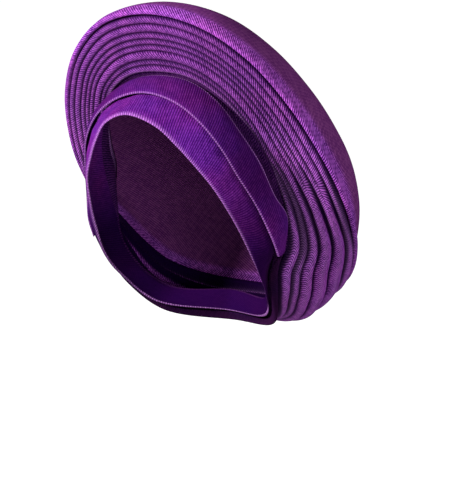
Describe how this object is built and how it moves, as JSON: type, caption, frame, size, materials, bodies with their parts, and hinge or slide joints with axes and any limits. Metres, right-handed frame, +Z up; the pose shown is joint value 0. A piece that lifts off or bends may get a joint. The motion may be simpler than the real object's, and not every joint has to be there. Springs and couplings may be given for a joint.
{
  "type": "tied gele head tie",
  "caption": "Stiff cloth head wrap tied into two smooth bands round the face, a tall standing pleated fan, a smooth back and a tucked nape fold.",
  "frame": {"origin": "middle of the head hollow, level with the temples, where the wearer's head carries the wrap", "axes": "+Z up, -Y out of the face opening, +X towards the wearer's left"},
  "size_m": [0.283, 0.2309, 0.3047],
  "materials": {
    "band_cloth": "woven, soft satin sheen",
    "fan_cloth": "woven, soft satin sheen",
    "back_cloth": "woven, soft satin sheen"
  },
  "bodies": {
    "root": {"front_band": "band_cloth", "second_band": "band_cloth", "pleated_fan": "fan_cloth", "back_panel": "back_cloth", "nape_wrap": "band_cloth"}
  },
  "joints": []
}
